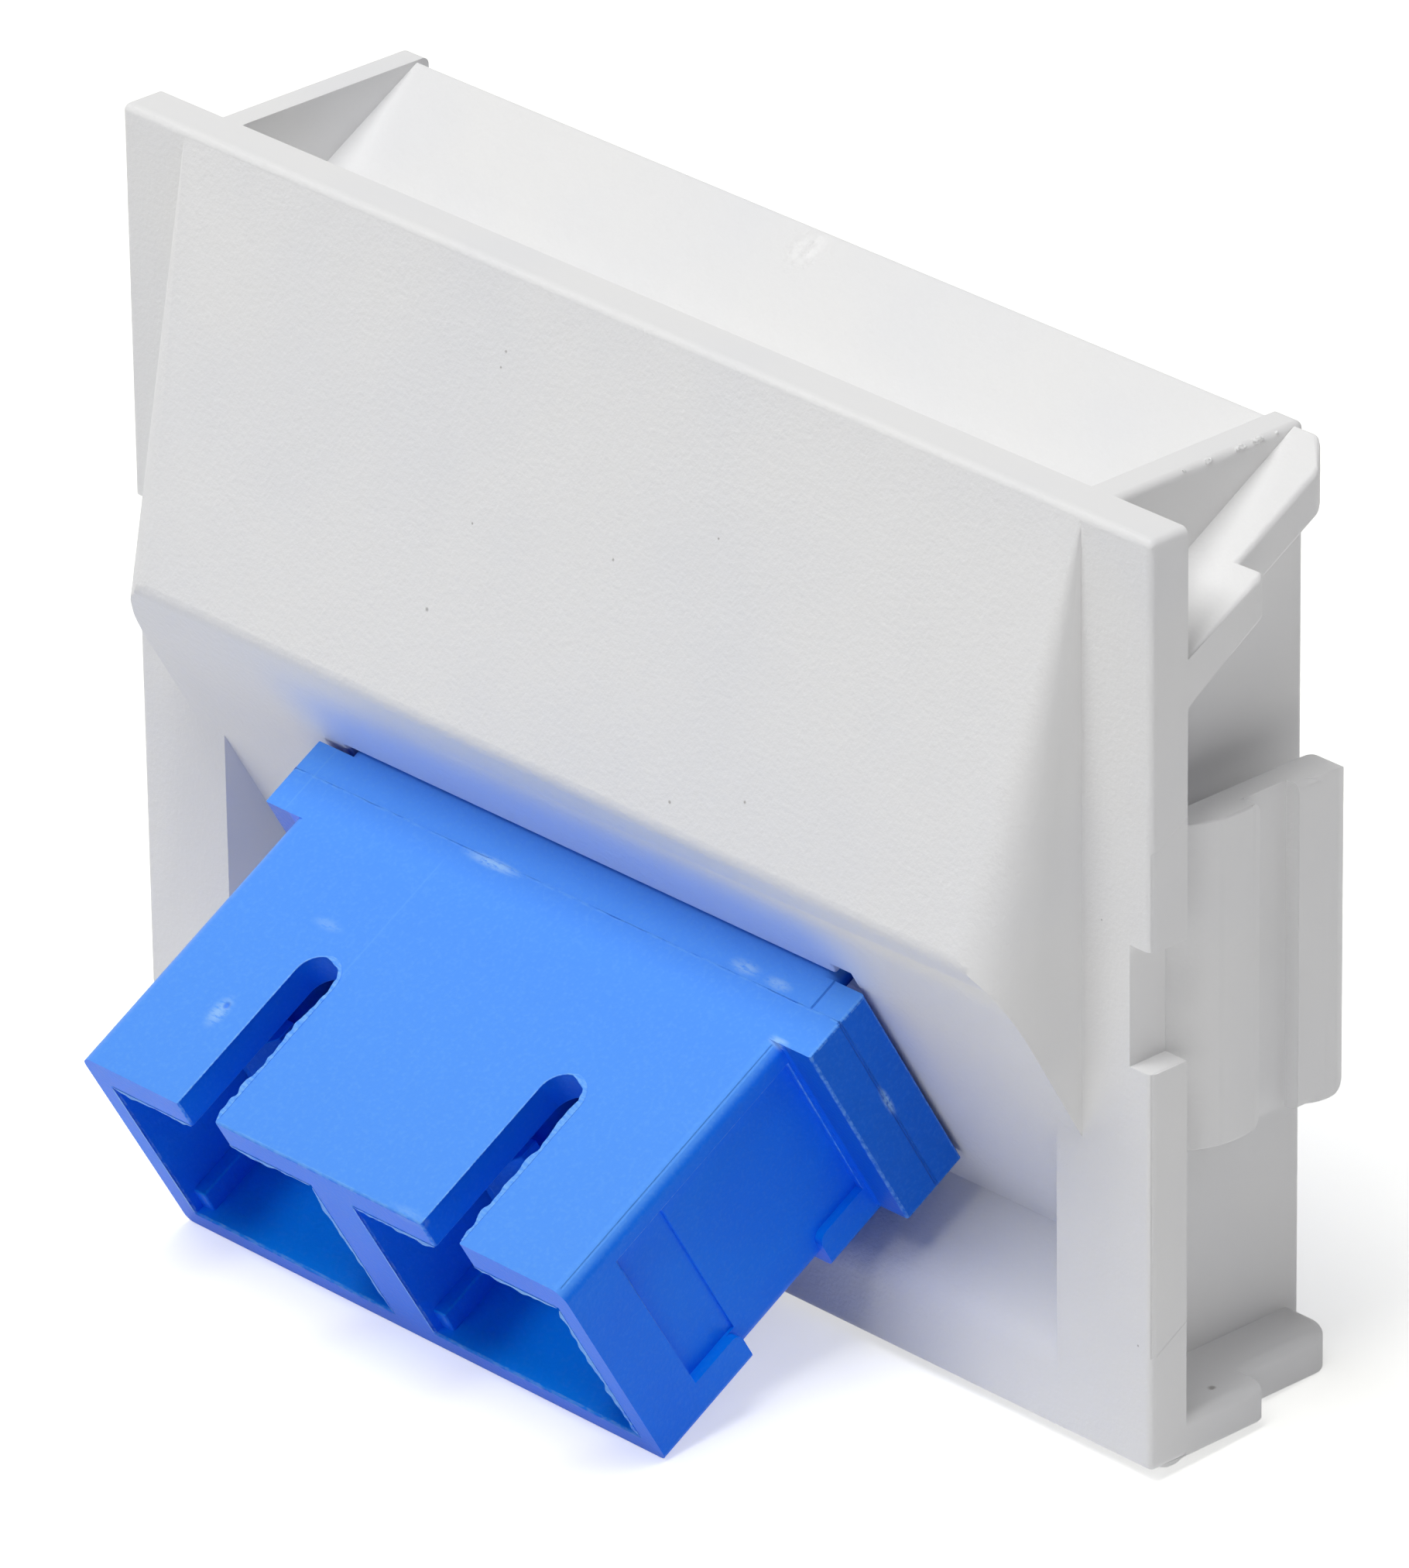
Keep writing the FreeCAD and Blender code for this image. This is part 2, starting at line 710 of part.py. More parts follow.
def make_holder(label, centre, way):
    # Plate clamped at the seam, with a tube around the sleeve's half and two sprung hooks for the plug
    body = new_body(label)
    rearward = way > 0
    middle = port_middle
    half_wide = d.port_width / 2 + d.holder_step - d.holder_gap
    half_tall = d.port_height / 2 + d.holder_step - d.holder_gap
    plate = new_sketch(body, "XZ_Plane", "HolderPlate")
    add_outline(plate, box(centre - half_wide, centre + half_wide, middle - half_tall, middle + half_tall))
    extrude(body, "Pad", plate, d.holder_plate, turned=rearward)
    tube = new_sketch(body, "XZ_Plane", "Tube")
    add_circle(tube, (centre, middle), d.tube_outer / 2)
    extrude(body, "Pad", tube, sleeve_room + d.tube_lip, turned=rearward)
    hooks = new_sketch(body, "XY_Plane", "Hooks", middle - d.arm_height / 2)
    inside = d.arm_spread / 2
    outside = inside + d.arm_thick
    for side in (1, -1):
        outline = [
            (centre + side * inside, way * d.holder_plate / 2),
            (centre + side * inside, way * (d.arm_length - d.barb_length)),
            (centre + side * (inside - d.barb_reach), way * (d.arm_length - d.barb_length)),
            (centre + side * (inside - d.barb_reach), way * (d.arm_length - d.barb_lead)),
            (centre + side * (inside + d.arm_thick / 2), way * d.arm_length),
            (centre + side * outside, way * d.arm_length),
            (centre + side * outside, way * d.holder_plate / 2),
        ]
        add_outline(hooks, outline)
    extrude(body, "Pad", hooks, d.arm_height)
    bore = new_sketch(body, "XZ_Plane", "SleeveBore")
    add_circle(bore, (centre, middle), d.sleeve_outer / 2 + d.sleeve_gap)
    extrude(body, "Pocket", bore, sleeve_room, turned=not rearward)
    mouth = new_sketch(body, "XZ_Plane", "FerruleMouth")
    add_circle(mouth, (centre, middle), d.tube_lip_bore / 2)
    extrude(body, "Pocket", mouth, sleeve_room + d.tube_lip + overcut, turned=not rearward)
    tilt_into_place(body)
    return body


def make_sleeve(label, centre):
    # Ceramic tube, slit along its underside so that it grips both ferrules
    body = new_body(label)
    wall = new_sketch(body, "XZ_Plane", "SleeveWall")
    add_circle(wall, (centre, port_middle), d.sleeve_outer / 2)
    add_circle(wall, (centre, port_middle), d.sleeve_bore / 2)
    extrude(body, "Pad", wall, d.sleeve_length, "Symmetric")
    slit = new_sketch(body, "XY_Plane", "Slit", port_middle)
    half = d.sleeve_slit / 2
    add_outline(slit, box(centre - half, centre + half, -d.sleeve_length, d.sleeve_length))
    extrude(body, "Pocket", slit, d.sleeve_outer)
    tilt_into_place(body)
    return body


def make_clip():
    # Folded strip under the rear shell, with a tongue in each arm that springs against the panel
    body = new_body("panel_clip")
    inside = half_shell - d.pocket_sink + d.clip_gap
    outside = inside + d.clip_thick
    under = d.pocket_sink - half_high - d.clip_gap
    crown = half_high - d.pocket_top - d.clip_top_gap
    start = d.strap_start + d.clip_side_gap
    width = d.strap_room - 2 * d.clip_side_gap
    strip = new_sketch(body, "XZ_Plane", "Strip", -start)
    outer_bend = d.strap_round + d.clip_thick
    outline = [
        (-outside, crown),
        (-outside, under - d.clip_thick + outer_bend, outer_bend),
        (outer_bend - outside, under - d.clip_thick),
        (outside - outer_bend, under - d.clip_thick, outer_bend),
        (outside, under - d.clip_thick + outer_bend),
        (outside, crown),
        (inside, crown),
        (inside, under + d.strap_round, d.strap_round, "hollow"),
        (inside - d.strap_round, under),
        (d.strap_round - inside, under, d.strap_round, "hollow"),
        (-inside, under + d.strap_round),
        (-inside, crown),
    ]
    add_outline(strip, outline)
    extrude(body, "Pad", strip, width, turned=True)
    tip = d.rear_flange + d.face_wall + d.tongue_gap
    root = start + width - d.tongue_root
    windows = new_sketch(body, "YZ_Plane", "Windows")
    half_window = d.tongue_height / 2 + d.window_gap
    add_outline(windows, box(start + d.tongue_root, root, -half_window, half_window))
    extrude(body, "Pocket", windows, d.plate_width, "Symmetric")
    tongues = new_sketch(body, "XY_Plane", "Tongues", -d.tongue_height / 2)
    for side in (1, -1):
        outline = [
            (side * inside, root),
            (side * (inside + d.tongue_flare), tip),
            (side * (outside + d.tongue_flare), tip),
            (side * outside, root),
            (side * outside, root + d.tongue_root / 2),
            (side * inside, root + d.tongue_root / 2),
        ]
        add_outline(tongues, outline)
    extrude(body, "Pad", tongues, d.tongue_height)
    tilt_into_place(body)
    return body


pieces = [make_module_body()]
pieces.append(make_shell("adapter_front_shell", d.front_flange, -1))
pieces.append(make_shell("adapter_rear_shell", d.rear_flange, 1))
for port, offset in port_centres:
    pieces.append(make_holder(f"sleeve_holder_{port}_front", offset, -1))
    pieces.append(make_holder(f"sleeve_holder_{port}_rear", offset, 1))
    pieces.append(make_sleeve(f"alignment_sleeve_{port}", offset))
pieces.append(make_clip())
doc.recompute()

# Checks before anything is written
for thing in doc.Objects:
    if "Invalid" in thing.State or "Error" in thing.State:
        raise RuntimeError(f"{thing.Label} did not build: {thing.State}")
for piece in pieces:
    if piece.Shape.isNull() or not piece.Shape.isValid():
        raise RuntimeError(f"{piece.Label} has no valid shape")
    print(piece.Label, len(piece.Shape.Solids), round(piece.Shape.Volume, 3), piece.Shape.BoundBox)

os.makedirs("parts", exist_ok=True)
for piece in pieces:
    piece.Shape.exportStep(f"parts/{piece.Label}.step")
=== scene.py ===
import math
import bmesh
import bpy
from mathutils import Matrix, Vector, geometry, noise


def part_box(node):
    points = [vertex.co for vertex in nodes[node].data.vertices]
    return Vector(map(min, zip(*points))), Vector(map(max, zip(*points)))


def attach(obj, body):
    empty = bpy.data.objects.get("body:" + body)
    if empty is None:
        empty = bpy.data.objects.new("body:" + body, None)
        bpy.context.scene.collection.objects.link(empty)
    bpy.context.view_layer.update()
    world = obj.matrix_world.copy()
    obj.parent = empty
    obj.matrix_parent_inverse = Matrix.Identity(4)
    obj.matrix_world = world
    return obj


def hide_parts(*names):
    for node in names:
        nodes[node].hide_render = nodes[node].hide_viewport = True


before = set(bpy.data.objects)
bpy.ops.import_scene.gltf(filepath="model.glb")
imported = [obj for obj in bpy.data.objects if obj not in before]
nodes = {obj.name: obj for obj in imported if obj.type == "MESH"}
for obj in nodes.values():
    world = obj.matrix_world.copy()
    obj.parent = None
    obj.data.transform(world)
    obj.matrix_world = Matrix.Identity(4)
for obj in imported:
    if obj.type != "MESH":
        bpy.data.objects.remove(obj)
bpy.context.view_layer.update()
scene = bpy.context.scene
mm = 0.001
print("frame loaded:", len(nodes), "nodes")


class Wire:
    # a node's output that can take part in sums
    def __init__(self, net, socket):
        self.net = net
        self.socket = socket

    def calc(self, operation, *values):
        return self.net.node("ShaderNodeMath", 0, {"operation": operation}, dict(enumerate(values)))

    def __add__(self, other):
        return self.calc("ADD", self, other)

    def __radd__(self, other):
        return self.calc("ADD", other, self)

    def __sub__(self, other):
        return self.calc("SUBTRACT", self, other)

    def __rsub__(self, other):
        return self.calc("SUBTRACT", other, self)

    def __mul__(self, other):
        return self.calc("MULTIPLY", self, other)

    def __rmul__(self, other):
        return self.calc("MULTIPLY", other, self)

    def __or__(self, other):
        return self.calc("MAXIMUM", self, other)

    def __abs__(self):
        return self.calc("ABSOLUTE", self)


class Net:
    # the nodes of one material or of the world
    def __init__(self, owner):
        self.owner = owner
        self.owner.use_nodes = True
        self.tree = owner.node_tree
        self.tree.nodes.clear()

    def node(self, kind, output, settings, inputs):
        made = self.tree.nodes.new(kind)
        for key, value in settings.items():
            setattr(made, key, value)
        for key, value in inputs.items():
            if isinstance(value, Wire):
                self.tree.links.new(value.socket, made.inputs[key])
            else:
                made.inputs[key].default_value = value
        return Wire(self, made.outputs[output]) if len(made.outputs) else None

    def place(self):
        # where a point is on the object, in millimetres
        coords = self.node("ShaderNodeTexCoord", "Object", {}, {})
        return self.node("ShaderNodeVectorMath", 0, {"operation": "SCALE"}, {0: coords, "Scale": 1 / mm})

    def facing(self):
        # which way the surface looks
        return self.node("ShaderNodeTexCoord", "Normal", {}, {})

    def alongAdapter(self, vector):
        # the same place in the adapter's own frame
        inputs = {"Vector": vector, "Location": adapter["seam"], "Rotation": (tilt, 0, 0)}
        return self.node("ShaderNodeMapping", 0, {"vector_type": "TEXTURE"}, inputs)

    def split(self, vector):
        made = self.node("ShaderNodeSeparateXYZ", 0, {}, {0: vector}).socket.node
        return [Wire(self, socket) for socket in made.outputs]

    def grain(self, vector, perMm, detail=2.0, roughness=0.5):
        inputs = {"Vector": vector, "Scale": perMm, "Detail": detail, "Roughness": roughness}
        return self.node("ShaderNodeTexNoise", 0, {}, inputs)

    def ease(self, value, low, high):
        # 0 at low, 1 at high
        settings = {"interpolation_type": "SMOOTHSTEP"}
        return self.node("ShaderNodeMapRange", 0, settings, {0: value, 1: low, 2: high})

    def mix(self, factor, one, other):
        return self.node("ShaderNodeMix", 2, {"data_type": "RGBA"}, {0: factor, 6: one, 7: other})

    def reach(self, vector, point):
        return self.node("ShaderNodeVectorMath", 1, {"operation": "DISTANCE"}, {0: vector, 1: point})

    def stretch(self, vector, scale):
        return self.node("ShaderNodeVectorMath", 0, {"operation": "MULTIPLY"}, {0: vector, 1: scale})

    def awayFrom(self, vector, centre, half):
        # how far a point is from a centre, 1 where the half sizes end
        shifted = self.node("ShaderNodeVectorMath", 0, {"operation": "SUBTRACT"}, {0: vector, 1: centre})
        return self.reach(self.stretch(shifted, [1 / size for size in half]), (0, 0, 0))

    def bump(self, height, depthMm):
        return self.node("ShaderNodeBump", 0, {}, {"Distance": depthMm * mm, "Height": height})

    def plastic(self, colour, roughness, normal, **plain):
        inputs = {"Base Color": colour, "Roughness": roughness, "Normal": normal}
        inputs.update({key.replace("_", " "): value for key, value in plain.items()})
        return self.finish(self.node("ShaderNodeBsdfPrincipled", 0, {}, inputs))

    def finish(self, shader):
        self.node("ShaderNodeOutputMaterial", 0, {}, {0: shader})
        return self.owner

    def seen(self):
        # 1 where the camera looks, also by way of a gloss or a clear piece
        rays = self.node("ShaderNodeLightPath", 0, {}, {}).socket.node
        camera, glossy, clear = (Wire(self, rays.outputs[f"Is {kind} Ray"])
                                 for kind in ("Camera", "Glossy", "Transmission"))
        return camera | glossy | clear


def grey(level):
    return (level, level, level, 1)


middle = 0.5  # what a noise swings about

# The adapter's own frame: seam at y = 0, its mouth towards -y
adapter = {"seam": (0.0, -0.742, -7.639), "tilt": 30.0, "halfHeight": 4.775, "length": 13.5,
           "portPitch": 12.7}
tilt = math.radians(adapter["tilt"])
adapterPlace = Matrix.Translation(Vector(adapter["seam"]) * mm) @ Matrix.Rotation(tilt, 4, "X")
turn = adapterPlace.to_3x3()
adapterUp = turn @ Vector((0, 0, 1))
portCentres = (-adapter["portPitch"] / 2, adapter["portPitch"] / 2)


def onAdapter(x, y, z):
    # a point given in the adapter's frame in millimetres, as a place on the object
    return adapterPlace @ (Vector((x, y, z)) * mm)


# Grains and clouds are given by their number to a millimetre, detail and roughness.
# Of a pair of limits, a mask is 0 at the first and 1 at the second.
whiteLook = {
    "tint": (0.86, 0.858, 0.852, 1), "cool": (0.84, 0.842, 0.848, 1),
    "clouds": (0.11, 2.0), "cloudRange": (0.38, 0.66),
    "roughness": 0.48, "frontRoughness": 0.1, "grainRoughness": 0.12, "gloss": 0.42,
    # grain, deeper on what faces the front
    "grain": (4.2, 2.5, 0.6), "grainDepth": 0.012, "plainGrain": 0.3, "frontGrain": 2.5,
    "frontFacing": (-0.25, -0.6),
    # x, y, z and radius of the dark specks, in millimetres
    "specks": [(-5.09, -0.66, 14.8, 0.09), (-5.2, -0.82, 14.21, 0.07), (1.77, -2.05, 9.56, 0.08),
               (-6.68, -3.2, 5.22, 0.11), (-5.23, -2.28, 8.7, 0.06), (6.51, -1.47, 11.74, 0.06),
               (9.97, -3.62, 3.65, 0.09), (6.49, -3.91, 2.54, 0.1), (9.47, -4.2, 0.9, 0.07),
               (25.15, 3.87, -16.05, 0.2), (25.46, 0.0, -12.85, 0.06), (23.7, 0.0, 2.77, 0.05)],
    "speck": (0.22, 0.2, 0.18, 1), "speckShare": 0.62, "speckEdge": (1.5, 0.7),
    # low blister left by an ejector pin on the roof, with a pit in it and painted highlight on it
    "pinMark": (-0.35, 9.31, 17.06), "pinMarkHalf": (0.95, 1.5, 0.9), "pinNoise": (1.6, 3.0, 0.6),
    "pinRagged": 0.9, "blister": (1.0, 0.35), "blisterHeight": 6.0,
    "pit": (0.3, 0.12), "pitDepth": 2.0, "pitShare": 0.08,
    "bright": (0.945, 0.945, 0.94, 1), "brightRange": (0.4, 0.6), "brightShare": 0.8,
    # small dent low on the wall
    "wallDent": (22.75, 8.11, -9.39), "dent": (0.42, 0.05), "dentDepth": 2.0,
    # parting step along the plate's side edges
    "stepLow": (-13.32, -13.22), "stepHigh": (5.97, 5.87), "stepEdge": (25.98, 26.04), "stepDepth": 2.4,
    # painted reflection of the blue adapter on the sloping face close to its seat, in the adapter's frame
    "seat": (0.5, 0.64, 1.0, 1), "paintedBounceShare": 0.95, "seatPlane": 1.55, "seatDepth": (1.0, 0.3),
    "seatTop": (9.2, 6.2), "seatFoot": (-2.0, 3.0), "seatSide": (16.5, 11.5),
}


def whitePlastic():
    look = whiteLook
    net = Net(bpy.data.materials.new("whitePlastic"))
    spot = net.place()
    x, y, z = net.split(spot)
    front = net.ease(net.split(net.facing())[1], *look["frontFacing"])
    fine = net.grain(spot, *look["grain"])
    cloudy = net.grain(spot, *look["clouds"])
    rough = net.grain(spot, *look["pinNoise"])
    pin = net.awayFrom(spot, look["pinMark"], look["pinMarkHalf"]) + (rough - middle) * look["pinRagged"]
    blister = net.ease(pin, *look["blister"])
    pit = net.ease(pin, *look["pit"])
    dent = net.ease(net.reach(spot, look["wallDent"]), *look["dent"])
    along = z - y * math.tan(tilt)
    step = (net.ease(along, *look["stepLow"]) * net.ease(along, *look["stepHigh"])
            * net.ease(abs(x), *look["stepEdge"]))
    height = (fine * (look["plainGrain"] + front * look["frontGrain"]) + blister * look["blisterHeight"]
              - pit * look["pitDepth"] - dent * look["dentDepth"] - step * look["stepDepth"])
    specks = None
    for *point, radius in look["specks"]:
        ragged = net.reach(spot, point) + fine * radius
        speck = net.ease(ragged, *(radius * share for share in look["speckEdge"]))
        specks = speck if specks is None else specks | speck
    acrossSeat, offSeat, upSeat = net.split(net.alongAdapter(spot))
    paintedBlueBounce = (net.ease(upSeat, *look["seatTop"]) * net.ease(upSeat, *look["seatFoot"])
                * net.ease(abs(acrossSeat), *look["seatSide"])
                * net.ease(abs(offSeat - look["seatPlane"]), *look["seatDepth"]))
    paintedShine = blister * net.ease(rough, *look["brightRange"])
    colour = net.mix(net.ease(cloudy, *look["cloudRange"]), look["tint"], look["cool"])
    # painted reflection: the adapter's blue bounce light tints the white face near its seat
    colour = net.mix(paintedBlueBounce * look["paintedBounceShare"], colour, look["seat"])
    # painted highlight: brighter patches on the blister
    colour = net.mix(paintedShine * look["brightShare"], colour, look["bright"])
    colour = net.mix(specks * look["speckShare"] + pit * look["pitShare"], colour, look["speck"])
    roughness = look["roughness"] + front * look["frontRoughness"] + (fine - middle) * look["grainRoughness"]
    return net.plastic(colour, roughness, net.bump(height, look["grainDepth"]),
                       Specular_IOR_Level=look["gloss"])


blueLook = {
    "tint": (0.004, 0.165, 0.96, 1), "cloud": (0.004, 0.185, 0.97, 1), "upper": (0.095, 0.33, 0.97, 1),
    "inner": (0.0, 0.27, 1.0, 1), "paintedRearLight": (0.10, 0.345, 1.0, 1), "ends": (0.002, 0.12, 0.70, 1),
    "paleWearAndHighlight": (0.22, 0.50, 0.98, 1), "scuff": (0.34, 0.60, 0.99, 1), "line": (0.14, 0.40, 0.97, 1),
    "holder": (0.002, 0.10, 0.62, 1), "film": (0.2, 0.48, 0.97, 1),
    "roughness": 0.42, "grainRoughness": 0.14, "cloudRoughness": 0.08, "paleRoughness": 0.2,
    "gloss": 0.35, "glossTint": (0.25, 0.55, 1.0, 1),
    "grain": (6.0, 2.0, 0.55), "grainDepth": 0.014, "grainRange": (0.45, 0.75),
    "grainShare": 0.08, "upperGrainShare": 0.24,
    "clouds": (0.3, 3.0), "cloudStretch": (1.0, 0.6, 1.0), "cloudRange": (0.3, 0.7),
    # faces that look up, above the ports or in them, painted lighter as lit from above; the strip behind the
    # seam, painted lighter where the hood shades it; and the ears' ends, painted darker as shaded
    "upFacing": (0.25, 0.85), "abovePorts": (3.0, 4.0), "paintedTopLightShare": 0.95, "behindSeam": (-0.1, 0.5),
    "earFaces": (12.7, 12.9), "paintedEndShadeShare": 0.85,
    # the outside, where edges are rubbed and paler, partly as painted highlight: the top, the sides and the
    # mouths
    "rubs": (2.2, 4.0, 0.65), "rubStretch": (1.0, 3.2, 2.0), "wornRange": (0.36, 0.66),
    "edgeWearAndHighlight": 0.5, "filmPaleness": 0.9,
    "outerTop": (3.2, 3.6), "outerSide": (12.46, 12.54), "outerMouth": (13.2, 13.4),
    # centre in the adapter's frame, half sizes and strength of the pale rubbed patches, in millimetres
    "scuffs": [((-3.5, -0.1, 4.8), (1.7, 0.28, 0.4), 1.0), ((9.0, 0.4, 4.8), (0.9, 0.35, 0.4), 0.8),
               ((10.7, 0.35, 4.8), (0.8, 0.3, 0.4), 0.7), ((14.1, 0.0, 0.4), (0.3, 0.2, 0.9), 0.85),
               ((12.5, -1.6, 4.7), (0.6, 0.25, 0.4), 0.9), ((-8.78, -9.67, 4.77), (0.5, 0.85, 0.3), 0.75),
               ((-7.6, -4.9, 4.77), (0.9, 0.3, 0.2), 0.35), ((4.6, -13.3, 4.6), (1.2, 0.3, 0.3), 0.5)],
    "scuffEdge": (1.1, 0.15), "scuffRange": (0.32, 0.56), "paleHeight": 0.4,
    # mark of the gate
    "gate": (-8.7, -9.35, 4.775), "gateEdge": (0.2, 0.06), "gateShare": 0.7, "gateDepth": 3.0,
    # faint weld line from a key slot to the seam
    "knit": -5.42, "knitEdge": (0.07, 0.01), "knitMiddle": -3.75, "knitRun": (3.25, 2.6), "knitShare": 0.4,
    # thin line on the rounded upper edges
    "parting": 12.29, "partingEdge": (0.05, 0.01), "partingTop": (4.4, 4.5), "partingMiddle": 7.525,
    "partingRun": (5.8, 5.7), "partingShare": 0.3, "partingDepth": 2.0,
    # where the ears meet the flange, pale on the left, with painted shade in the crease behind the seam on
    # the right
    "earLines": (-13.05, 12.62), "earEdge": (0.06, 0.02), "flange": (1.64, 1.56), "leftEarShare": 0.45,
    "darkFrom": (0.0, 0.1), "paintedSeamShadeShare": 0.6, "darkDepth": 3.0,
    # the seam across the top, and painted shade in it down the ears' ends
    "seamAcross": (0.09, 0.02), "seamRange": (0.42, 0.56), "seamShare": 0.75,
    "seamDown": (0.1, 0.03), "earEnd": (13.97, 14.02),
}


def bluePlastic(name, tint, paleWearAndHighlight):
    # the last argument is how pale the plastic is, from rubbing and partly painted highlight: 0 on faces, up
    # to 1 on edges
    look = blueLook
    net = Net(bpy.data.materials.new(name))
    spot = net.alongAdapter(net.place())
    x, y, z = net.split(spot)
    upward = net.node("ShaderNodeVectorMath", 1, {"operation": "DOT_PRODUCT"},
                      {0: net.facing(), 1: adapterUp})
    level = net.ease(upward, *look["upFacing"])
    above = net.ease(z, *look["abovePorts"])
    upper = level * above
    outer = (net.ease(z, *look["outerTop"]) | net.ease(abs(x), *look["outerSide"])
             | net.ease(abs(y), *look["outerMouth"]))
    fine = net.grain(spot, *look["grain"])
    cloudy = net.grain(net.stretch(spot, look["cloudStretch"]), *look["clouds"])
    rubbed = net.grain(net.stretch(spot, look["rubStretch"]), *look["rubs"])

    # rubbed pale edges, partly painted highlight
    pale = net.ease(rubbed, *look["wornRange"]) * outer * paleWearAndHighlight
    for centre, half, strength in look["scuffs"]:
        patch = net.ease(net.awayFrom(spot, centre, half), *look["scuffEdge"])
        pale = pale | patch * net.ease(rubbed, *look["scuffRange"]) * strength
    gate = net.ease(net.reach(spot, look["gate"]), *look["gateEdge"])
    knit = (net.ease(abs(x - look["knit"]), *look["knitEdge"])
            * net.ease(abs(y - look["knitMiddle"]), *look["knitRun"]) * upper)
    parting = (net.ease(abs(abs(x) - look["parting"]), *look["partingEdge"])
               * net.ease(z, *look["partingTop"])
               * net.ease(abs(abs(y) - look["partingMiddle"]), *look["partingRun"]))
    onFlange = net.ease(abs(y), *look["flange"])
    leftEar, rightEar = (net.ease(abs(x - line), *look["earEdge"]) * onFlange * upper
                         for line in look["earLines"])
    seamDown = net.ease(abs(y), *look["seamDown"]) * net.ease(abs(x), *look["earEnd"])
    seamAcross = net.ease(abs(y), *look["seamAcross"]) * upper * net.ease(rubbed, *look["seamRange"])
    # painted shade in the crease behind the seam at the right ear and in the seam down the ears' ends
    dark = rightEar * net.ease(y, *look["darkFrom"]) | seamDown
    lines = (knit * look["knitShare"] + parting * look["partingShare"] + leftEar * look["leftEarShare"]
             + seamAcross * look["seamShare"])
    # painted shade: the ears' end faces darker, as shaded by the module
    ends = net.ease(abs(x), *look["earFaces"]) * (1 - upper)
    flecks = net.ease(fine, *look["grainRange"]) * (look["grainShare"] + upper * look["upperGrainShare"])

    colour = net.mix(net.ease(cloudy, *look["cloudRange"]), tint, look["cloud"])
    # painted light: up-facing faces above the ports lighter, as lit from above and with sheen
    colour = net.mix(upper * look["paintedTopLightShare"], colour, look["upper"])
    # painted light: the strip behind the seam lighter, where the hood shades it
    colour = net.mix(upper * net.ease(y, *look["behindSeam"]), colour, look["paintedRearLight"])
    # painted light: up-facing faces in the ports lighter
    colour = net.mix(level * (1 - above), colour, look["inner"])
    colour = net.mix(ends * look["paintedEndShadeShare"], colour, look["ends"])
    colour = net.mix(flecks, colour, look["line"])
    colour = net.mix(lines, colour, look["line"])
    # painted shade takes the holders' darker blue
    colour = net.mix(dark * look["paintedSeamShadeShare"], colour, look["holder"])
    colour = net.mix(pale, colour, look["scuff"] if paleWearAndHighlight == 0 else look["paleWearAndHighlight"])
    colour = net.mix(gate * look["gateShare"], colour, tint)
    roughness = (look["roughness"] + (fine - middle) * look["grainRoughness"]
                 + (cloudy - middle) * look["cloudRoughness"] + pale * look["paleRoughness"])
    height = (fine + pale * look["paleHeight"] - gate * look["gateDepth"] - parting * look["partingDepth"]
              - dark * look["darkDepth"])
    return net.plastic(colour, roughness, net.bump(height, look["grainDepth"]),
                       Specular_IOR_Level=look["gloss"], Specular_Tint=look["glossTint"])


steelLook = {"tint": (0.60, 0.60, 0.61, 1), "dark": (0.44, 0.44, 0.45, 1), "stains": (0.6, 3.0),
             "stainRange": (0.45, 0.7), "streaks": (2.0, 4.0, 0.65), "streakStretch": (0.5, 9.0, 9.0),
             "streakDepth": 0.004, "roughness": 0.3, "streakRoughness": 0.22}


def springSteel():
    look = steelLook
    net = Net(bpy.data.materials.new("springSteel"))
    spot = net.place()
    streaks = net.grain(net.stretch(spot, look["streakStretch"]), *look["streaks"])
    stains = net.grain(spot, *look["stains"])
    colour = net.mix(net.ease(stains, *look["stainRange"]), look["tint"], look["dark"])
    roughness = look["roughness"] + streaks * look["streakRoughness"]
    return net.plastic(colour, roughness, net.bump(streaks, look["streakDepth"]), Metallic=1.0)


ceramicLook = {"tint": (0.86, 0.85, 0.80, 1), "shade": (0.82, 0.81, 0.77, 1), "shadeRange": (0.4, 0.65),
               "grain": (3.0, 3.0), "grainDepth": 0.001, "roughness": 0.16, "grainRoughness": 0.06,
               "gloss": 0.7}


def ceramic():
    look = ceramicLook
    net = Net(bpy.data.materials.new("ceramic"))
    fine = net.grain(net.place(), *look["grain"])
    colour = net.mix(net.ease(fine, *look["shadeRange"]), look["tint"], look["shade"])
    roughness = look["roughness"] + fine * look["grainRoughness"]
    return net.plastic(colour, roughness, net.bump(fine, look["grainDepth"]),
                       Specular_IOR_Level=look["gloss"])


white = whitePlastic()
blue = bluePlastic("bluePlastic", blueLook["tint"], 0)
blueEdge = bluePlastic("blueEdge", blueLook["tint"], blueLook["edgeWearAndHighlight"])
blueFilm = bluePlastic("blueFilm", blueLook["film"], blueLook["filmPaleness"])
holderBlue = bluePlastic("holderBlue", blueLook["holder"], 0)
steel = springSteel()
zirconia = ceramic()
print("materials made")


def addPiece(name, mesh, materials):
    piece = bpy.data.objects.new(name, mesh)
    scene.collection.objects.link(piece)
    mesh.materials.clear()
    for material in materials:
        mesh.materials.append(material)
    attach(piece, "root")
    return piece


def meshFrom(work, name):
    mesh = bpy.data.meshes.new(name)
    work.to_mesh(mesh)
    work.free()
    return mesh


# How the nodes' meshes are cleaned and eased: millimetres to weld, degrees that count as flat, the sharpest
# corner of a face beside an eased edge, the easing's steps and how evenly it is shaded
cleaning = {"weld": 0.002, "flat": 0.3, "wedge": 58.0, "segments": 3, "evenness": 50}
